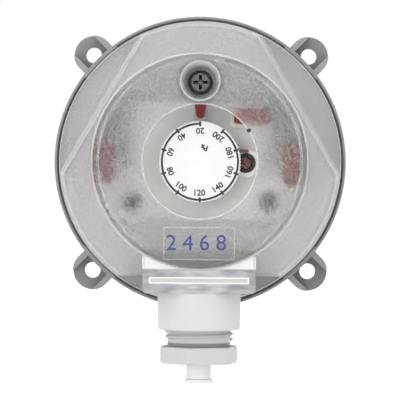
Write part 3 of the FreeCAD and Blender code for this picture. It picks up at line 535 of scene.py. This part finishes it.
box_band = (0 - height).ramp(band_start, band_start + 0.6 * MM)
from_bar = (height + bar_drop).size().larger(across.size() - bar_reach)
box_bar = 1 - from_bar.ramp(bar_half_height, bar_half_height + 0.2 * MM)
bar_highlight = line(from_bar - bar_half_height, 0.28 * MM)
box_side_shade = line(across.size() - entry_half + 0.45 * MM, 0.3 * MM)
squeezed = cover_clear.add("ShaderNodeMapping", {}, {
    "Vector": cover_clear.place(), "Scale": (0.5, 1.0, 1.6),
})
painted_ripples = cover_clear.noise(2.4 * MM, 1.0, vector=squeezed).ramp(0.35, 0.7) * 0.45
painted_ripples = painted_ripples + 0.4 * across.size().ramp(5 * MM, 9 * MM)
# Painted light and shade of the clear entry: a pale top, a darker band with ripples, dark side lines and a
# bright outline round the bar.
box_painted_light = cover_clear.mixed(grey(0.76), (0.60, 0.60, 0.61), box_band)
box_painted_light = cover_clear.mixed(box_painted_light, (0.25, 0.24, 0.28), box_band * (1 - box_bar) * painted_ripples)
box_painted_light = cover_clear.mixed(box_painted_light, (0.42, 0.42, 0.43), box_side_shade * 0.6)
box_painted_light = cover_clear.mixed(box_painted_light, grey(0.93), bar_highlight)
print("bar of the entry in mm", round(2 * (bar_reach + bar_half_height) / MM, 1), "across")

# %% [markdown]
# ## The frosting's grain and veil
# Frosting also throws some light straight back, so a share of a pale matt surface, the veil, is mixed in. It
# is speckled by the grain and denser on the ring, the neck and the flats, whose violet bands are painted
# shade.
# In the entry it carries the entry's painted light and shade, on fine edges it makes painted highlights, and
# it is a little denser beyond the carrier as painted light and thinner where the wires run as painted shade.
# The same grain stipples the tint of the clear plastic, because a grain that is only in the bump gets lost in
# a render that is cleaned of noise. Part of the surface is left out by its alpha, most of all in the window,
# so that straight light falls through a thin clear wall as it does in daylight. A purely refracting wall
# would keep the lamp's light outside.

# %% Grain and veil
frost_grain = cover_clear.noise(0.45 * MM, 2.0, 0.6)
cover_clear.bump(frost_grain * frosted.larger(neck), 0.03 * MM)
cover_clear.fill(cover_clear.surface, {"Roughness": frosted * 0.26 + neck * 0.3 + 0.03})

# Painted shade: the violet bands darken the veil's colour.
frost_colour = cover_clear.mixed(grey(0.70), (0.60, 0.595, 0.65), violet_shade)
# The neck is pale frosting, and the well's wall is painted light.
frost_colour = cover_clear.mixed(frost_colour, (0.76, 0.76, 0.75), neck.larger(well_wall_light))
veil_colour = cover_clear.mixed(frost_colour, box_painted_light, in_box)
veil = cover_clear.add("ShaderNodeBsdfPrincipled", {}, {"Base Color": veil_colour, "Roughness": 0.6})

beyond_flat = to_flat.ramp(flat_shade_to, flat_shade_to + shade_fade) * on_ring
# Painted light makes the veil a little denser beyond the carrier, and painted shade thins it over the wires.
light_beyond_carrier = height.size().ramp(12 * MM, 22 * MM) * (1 - on_ring)
shade_over_wires = (0 - height).ramp(23 * MM, 30 * MM) * (1 - on_ring)
speckled = 0.23 * frost_grain.ramp(0.42, 0.65) + 0.05 * light_beyond_carrier
grainy = frosted * speckled * (1 - 0.7 * shade_over_wires)
grainy = grainy + on_ring * 0.24 + violet_shade * 0.3 + beyond_flat * 0.08
# In the clear entry the veil carries the entry's painted light and shade.
clear_box = in_box * (0.9 - 0.15 * box_band)
# Pale lines on fine edges are painted highlights, and the dense veil on the well's wall is painted light.
edges = window_rim * 0.3 + front_edge * 0.35 + raised_frame * 0.2 + flat_edge * 0.4 + well_wall_light * 0.75
cover_clear.blend_in(grainy + clear_box + edges + neck * 0.68, veil)

stipple = cover_clear.mixed(grey(0.70), grey(0.95), frost_grain.ramp(0.35, 0.65))
cover_clear.fill(cover_clear.surface, {
    "Base Color": cover_clear.mixed(clear_tint, stipple, frosted),
    "Alpha": 1 - 0.85 * (1 - outside_window) - 0.15 * frosted,
})
print("nodes of the cover's finish", len(cover_clear.tree.nodes))

# %% [markdown]
# ## Metals, rubber and the natural plug
# Screws are plated or blackened steel, the lever and the terminals' blades are brass and bronze strip, and
# the seals are black rubber. Their finishes are short variations: metals get fine streaks in their
# roughness, rubber a soft uneven one. The carrier's screws get painted shade, nearly black, round their
# middle where the recess lies. The plug is moulded in natural polythene, which is waxy: light goes in and
# comes out softened, so it is part clear and part scattering.


# %% Metals and soft materials
def metal(name, colour, roughness, streak):
    """Metal whose roughness varies in fine streaks."""
    finish = Finish(name, Metallic=1.0, Roughness=roughness)
    finish.varied(colour, 0.05, 1.5 * MM)
    stretched = finish.add("ShaderNodeMapping", {}, {"Vector": finish.place(), "Scale": (1.0, streak, 1.0)})
    streaks = finish.noise(0.3 * MM, vector=stretched)
    finish.fill(finish.surface, {"Roughness": streaks * 0.2 + (roughness - 0.1)})
    finish.bump(finish.noise(0.2 * MM, vector=stretched), 0.004 * MM)
    return finish


def rubber(name, colour, roughness):
    """Rubber with a soft uneven surface."""
    finish = Finish(name, Roughness=roughness)
    finish.varied(colour, 0.06, 2 * MM)
    finish.bump(finish.noise(0.25 * MM), 0.01 * MM)
    return finish


brass = metal("brass", (0.78, 0.57, 0.28), 0.3, 0.2)
bronze = metal("contact_bronze", (0.72, 0.46, 0.28), 0.32, 0.2)
plated = metal("plated_steel", (0.62, 0.62, 0.60), 0.34, 1.0)
sheet_aluminium = metal("aluminium_sheet", grey(0.80), 0.36, 0.15)
black_steel = metal("black_steel", (0.13, 0.13, 0.135), 0.3, 1.0)
black_rubber = rubber("black_rubber", grey(0.03), 0.6)
silicone = rubber("silicone", (0.72, 0.70, 0.66), 0.5)

# Painted shade: the middle of each carrier screw, where its recess lies, is nearly black.
shaded_screw_steel = metal("screw_painted_shade", grey(0.3), 0.34, 1.0)
screw_across, _, screw_up = shaded_screw_steel.xyz(shaded_screw_steel.place())
from_screw = shaded_screw_steel.distance(screw_across.size() - screw_x, screw_up - screw_z)
shaded_screw_steel.toned(grey(0.005), 1 - from_screw.ramp(1.5 * MM, 2.5 * MM))

lacquer = Finish("red_lacquer", Roughness=0.18, Coat_Weight=0.6)
lacquer.varied((0.16, 0.012, 0.012), 0.5, 0.9 * MM)
lacquer.bump(lacquer.noise(0.7 * MM), 0.1 * MM)

natural = Finish("plug_natural", Transmission_Weight=0.15, IOR=1.45, Roughness=0.35)
natural.varied((0.92, 0.92, 0.905), 0.02, 3 * MM)
natural.fill(natural.surface, {"Roughness": natural.noise(1.2 * MM) * 0.2 + 0.22})
natural.bump(natural.noise(0.3 * MM), 0.01 * MM)

# %% [markdown]
# ## One finish for each material
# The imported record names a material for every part. A table from those names to the finishes lets one loop
# dress all the parts later.

# %% Finish of each material slot
slot_of = {part["node"]: part["material_slot"] for part in frame["record"]["subparts"]}
finishes = {
    "housing_plastic": housing_grey, "carrier_plastic": carrier_grey, "cover_clear": cover_clear,
    "silicone": silicone, "aluminium_sheet": sheet_aluminium, "brass": brass, "plated_steel": plated,
    "black_steel": black_steel, "contact_bronze": bronze, "black_rubber": black_rubber,
    "black_plastic": bush_black, "dial_white": dial_white, "pointer_red": pointer_red,
    "terminal_red": terminal_red, "red_lacquer": lacquer, "gland_plastic": gland_grey,
    "plug_natural": natural,
}
print("finishes", len(finishes))

# %% [markdown]
# ## Smooth copies of the parts
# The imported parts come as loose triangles, which shade as flat facets. A copy with its doubles merged can
# be shaded smooth across fillets and round walls while edges above 25 degrees stay crisp. Smooth shading
# alone would bend the light on a flat face beside a fillet, and the window would work as a lens, so the
# borders of flat faces are made crisp too. They are found by walking over triangles that lie in one plane.
# A round wall has two of them in each facet, and a flat face more.

# %% Smooth copies
crisp_angle = math.radians(25)
plane_angle = math.radians(0.2)
merge_distance = 0.0005 * MM
facet_triangles = 2


def flat_faces(shape):
    """Faces that lie in groups larger than a facet in one plane."""
    found = set()
    seen = set()
    for first in shape.faces:
        if first in seen:
            continue
        seen.add(first)
        group = [first]
        for face in group:
            for edge in face.edges:
                for other in edge.link_faces:
                    if other not in seen and edge.calc_face_angle(math.pi) < plane_angle:
                        seen.add(other)
                        group.append(other)
        if len(group) > facet_triangles:
            found.update(group)
    return found


def shade(shape):
    """Smooth shading with crisp edges at corners and round flat faces."""
    flat = flat_faces(shape)
    for face in shape.faces:
        face.smooth = True
    for edge in shape.edges:
        angle = edge.calc_face_angle(math.pi)
        beside_flat = any(face in flat for face in edge.link_faces)
        edge.smooth = angle < plane_angle or (angle < crisp_angle and not beside_flat)


def dressed(name, shape, body, finish, smooth=True):
    """Makes a finished piece from a bmesh and sets it on its body."""
    if smooth:
        shade(shape)
    mesh = bpy.data.meshes.new(name)
    shape.to_mesh(mesh)
    shape.free()
    mesh.materials.append(finish.owner)
    piece = bpy.data.objects.new(name, mesh)
    scene.collection.objects.link(piece)
    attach(piece, body)
    return piece


def merged(node):
    """A bmesh of a part with its doubles merged."""
    shape = bmesh.new()
    shape.from_mesh(nodes[node].data)
    bmesh.ops.remove_doubles(shape, verts=shape.verts, dist=merge_distance)
    return shape


smooth = {}
for name in sorted(nodes):
    if name == "gland_screw":
        continue
    finish = shaded_screw_steel if name.startswith("carrier_screw") else finishes[slot_of[name]]
    smooth[name] = dressed(name + "_smooth", merged(name), body_of[name], finish)
    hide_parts(name)
print("smooth copies", len(smooth))

# %% [markdown]
# ## Pieces that are pressed
# Turning the dial presses the range spring against the diaphragm's plate, the diaphragm's stroke presses the
# lever's small spring, and tightening the gland presses its rubber seal. In the switch each flattens towards
# the end that stays against its seat. Here each gets a mesh of its own, and the share of its length that it
# keeps at the end of its joint's travel is worked out and printed.

# %% Springs and seal
joints = {joint["name"]: joint for joint in frame["record"]["behaviour"]["joints"]}
seat_travel = joints["seat_slide"]["range_m"][1]
press_travel = joints["gland_press"]["range_m"][1]
lever_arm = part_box("lever_spring")[1].x - joints["lever_rock"]["pos_m"][0]
lever_travel = math.radians(joints["lever_rock"]["range_deg"][1]) * lever_arm
for node, joint, axis, travel in [
    ("range_spring", "seat_slide", Vector((0, -1, 0)), seat_travel),
    ("lever_spring", "lever_rock", Vector((0, -1, 0)), lever_travel),
    ("gland_seal", "gland_press", Vector((0, 0, 1)), press_travel),
]:
    low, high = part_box(node)
    length = abs((high - low).dot(axis))
    middle = (low + high) / 2
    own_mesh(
        smooth[node], joint, axis=tuple(axis), anchor=tuple(middle + axis * length / 2),
        keep=1 - travel / length,
    )
    print(node, "keeps", round(1 - travel / length, 2), "of", round(length / MM, 2), "mm")

# %% [markdown]
# ## The gland screw's thread
# The hollow screw has a fine thread of 1.5 mm pitch, of which a few crests show below the cover's neck. A
# thread is a ridge that climbs as it goes round, which is what spin does with a step along its axis. The
# ridge sits on a plain tube of the root's radius, and the hexagon head is kept from the part itself, cut
# off just above the tube's foot.

# %% Thread and head
pitch = 1.5 * MM
crest_r = 9.85 * MM
root_r = 9.0 * MM
bore_r = 6.4 * MM
undercut = 1.3 * MM
head_overlap = 0.3 * MM
end_chamfer = 0.5 * MM
end_chamfer_r = 0.4 * MM
ridge_sunk = 0.05 * MM
ridge_half = 0.46 * pitch
crest_half = 0.07 * pitch
runout_turns = 0.75
head_top = gland_low.z + 4.9 * MM
thread_low = head_top + undercut
thread_high = gland_high.z
steps_per_turn = 72


def spun_section(shape, corners, **turning):
    """Spins a section, given as corners of (radius, height), about the gland's axis."""
    verts = [shape.verts.new((r, gland_axis_y, z)) for r, z in corners]
    face = shape.faces.new(verts)
    bmesh.ops.spin(
        shape, geom=[face] + list(face.edges) + verts, cent=(0, gland_axis_y, 0), axis=(0, 0, 1),
        use_duplicate=False, **turning,
    )


def gland_screw_shape():
    """The screw as one mesh: head from the part, tube of the root's radius, and the climbing ridge."""
    shape = merged("gland_screw")
    cut = bmesh.ops.bisect_plane(
        shape, geom=shape.verts[:] + shape.edges[:] + shape.faces[:], clear_outer=True,
        plane_co=(0, 0, head_top + head_overlap), plane_no=(0, 0, 1),
    )["geom_cut"]
    rim = [e for e in cut if isinstance(e, bmesh.types.BMEdge)]
    bmesh.ops.bridge_loops(shape, edges=rim)
    tube = [
        (bore_r, head_top), (root_r, head_top), (root_r, thread_high - end_chamfer),
        (root_r - end_chamfer_r, thread_high), (bore_r, thread_high),
    ]
    spun_section(shape, tube, angle=2 * math.pi, steps=steps_per_turn, use_merge=True)
    turns = (thread_high - thread_low) / pitch - runout_turns
    steps = round(turns * steps_per_turn)
    start = thread_low + ridge_half
    foot_r = root_r - ridge_sunk
    ridge = [
        (foot_r, start - ridge_half), (crest_r, start - crest_half),
        (crest_r, start + crest_half), (foot_r, start + ridge_half),
    ]
    spun_section(
        shape, ridge, angle=2 * math.pi * steps / steps_per_turn, steps=steps,
        dvec=(0, 0, pitch / steps_per_turn),
    )
    bmesh.ops.recalc_face_normals(shape, faces=shape.faces)
    print("gland screw faces", len(shape.faces), "turns", round(turns, 2))
    return shape


gland_piece = dressed("gland_screw_threaded", gland_screw_shape(), "gland_screw", gland_grey)
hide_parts("gland_screw")

# %% [markdown]
# ## Print on the dial
# The scale is pad-printed in black: a ring with a mark every 36 degrees, numbers from 20 to 200 whose tops
# face the middle, and the unit. Print has almost no thickness, so each piece is a sliver 0.03 mm high. Marks
# are stretched cubes, and the ring is a small section spun through 324 degrees.

# %% Ring and marks of the scale
ink = Finish("ink", Roughness=0.5)
ink.varied((0.018, 0.018, 0.02), 0.4, 0.6 * MM)
ink_height = 0.03 * MM
mark_count = 10
mark_angle = math.radians(36)
mark_inner = 10.15 * MM
mark_outer = 11.6 * MM
ring_r = 10.9 * MM
ring_width = 0.6 * MM
ring_steps = 12 * (mark_count - 1)
first_mark = math.pi / 2


def on_dial(angle, radius=0.0, turn=0.0):
    """Puts flat work drawn in XY on the dial's face, at an angle counter-clockwise from the right."""
    around = Matrix.Translation((0, -dial_front, 0)) @ face_front @ Matrix.Rotation(angle, 4, "Z")
    return around @ Matrix.Translation((radius, 0, 0)) @ Matrix.Rotation(turn, 4, "Z")


def dial_ring():
    """Printed ring from the first mark round to the last, with its marks."""
    shape = bmesh.new()
    for i in range(mark_count):
        size = Matrix.Diagonal((mark_outer - mark_inner, ring_width, 2 * ink_height, 1))
        place = on_dial(first_mark + i * mark_angle, (mark_outer + mark_inner) / 2) @ size
        bmesh.ops.create_cube(shape, size=1, matrix=place)
    inner_r = ring_r - ring_width / 2
    outer_r = ring_r + ring_width / 2
    top = ink_height * 0.9
    corners = [(inner_r, -ink_height), (outer_r, -ink_height), (outer_r, top), (inner_r, top)]
    start = on_dial(first_mark)
    verts = [shape.verts.new(start @ Vector((r, 0, z))) for r, z in corners]
    face = shape.faces.new(verts)
    bmesh.ops.spin(
        shape, geom=[face] + list(face.edges) + verts, cent=(0, -dial_front, 0), axis=(0, -1, 0),
        angle=mark_angle * (mark_count - 1), steps=ring_steps, use_duplicate=False,
    )
    bmesh.ops.recalc_face_normals(shape, faces=shape.faces)
    return shape


dressed("dial_scale", dial_ring(), "dial", ink, smooth=False)
print("marks", mark_count)

# %% [markdown]
# ## Numbers and unit
# Each number is text, thickened a little, turned into a mesh and centred on its own box before it is placed,
# so that its object stays at the origin. The tops of the numbers face the middle of the dial, and the unit
# is turned nearly upside down.

# %% Lettering
capital_share = 0.7
number_step = 20
number_r = 8.85 * MM
number_height = 1.65 * MM
number_weight = 0.07 * MM
unit_r = 4.2 * MM
unit_height = 1.5 * MM
unit_weight = 0.09 * MM
unit_angle = math.radians(74)
unit_turn = math.radians(162)


def lettering(name, text, height, place, body, finish, weight=0.0):
    """Text as a thin solid whose capitals have that height, placed by a matrix."""
    curve = bpy.data.curves.new(name, "FONT")
    curve.body = text
    curve.size = height / capital_share
    curve.align_x = "CENTER"
    curve.align_y = "CENTER"
    curve.extrude = ink_height / 2
    curve.offset = weight
    curve.resolution_u = 4
    holder = bpy.data.objects.new(name, curve)
    scene.collection.objects.link(holder)
    bpy.context.view_layer.update()
    mesh = bpy.data.meshes.new_from_object(holder)
    bpy.data.objects.remove(holder)
    shape = bmesh.new()
    shape.from_mesh(mesh)
    bpy.data.meshes.remove(mesh)
    bmesh.ops.remove_doubles(shape, verts=shape.verts, dist=merge_distance)
    spans = [[v.co[i] for v in shape.verts] for i in range(2)]
    middle = Vector([(min(span) + max(span)) / 2 for span in spans])
    bmesh.ops.translate(shape, verts=shape.verts, vec=(-middle.x, -middle.y, 0))
    bmesh.ops.transform(shape, matrix=place, verts=shape.verts)
    return dressed(name, shape, body, finish, smooth=False)


for i in range(mark_count):
    number = number_step * (i + 1)
    place = on_dial(first_mark + i * mark_angle, number_r, math.pi / 2)
    lettering("dial_number_%d" % number, str(number), number_height, place, "dial", ink, number_weight)
unit_place = on_dial(unit_angle, unit_r, unit_turn - unit_angle)
lettering("dial_unit", "Pa", unit_height, unit_place, "dial", ink, unit_weight)
print("printed numbers", mark_count)

# %% [markdown]
# ## The blue stamp and the dot
# Four plain blue digits are stamped on the cover's front, inside the raised frame, and a small black dot
# marks the rim of the window at two o'clock. Both are slivers on the cover, made as the dial's print is.

# %% Stamped digits and dot
stamp_blue = Finish("stamp_blue", Roughness=0.5)
stamp_blue.varied((0.035, 0.04, 0.20), 0.6, 0.5 * MM)
stamp_z = frame_z + 0.3 * MM
stamp_height = 4.4 * MM
stamp_digits = "2468"
first_digit_x = -7.9
digit_step = 4.7
dot_r = 0.6 * MM
dot_angle = math.radians(32.5)
dot_sides = 24


def on_cover(x, z):
    """Puts flat work drawn in XY on the cover's front, at a place seen from the front."""
    return Matrix.Translation((x, -cover_front, z)) @ face_front


for i, digit in enumerate(stamp_digits):
    place = on_cover((first_digit_x + digit_step * i) * MM, stamp_z)
    lettering("stamp_digit_%d" % (i + 1), digit, stamp_height, place, "cover", stamp_blue)
dot = bmesh.new()
bmesh.ops.create_cone(
    dot, cap_ends=True, segments=dot_sides, radius1=dot_r, radius2=dot_r, depth=ink_height,
    matrix=on_cover(window_r * math.cos(dot_angle), window_r * math.sin(dot_angle)),
)
dressed("window_dot", dot, "cover", ink, smooth=False)
print("stamped digits", len(stamp_digits))

# %% [markdown]
# ## Bringing the scene up to date
# Last, the view layer is brought up to date.

# %% Update of the view layer
bpy.context.view_layer.update()
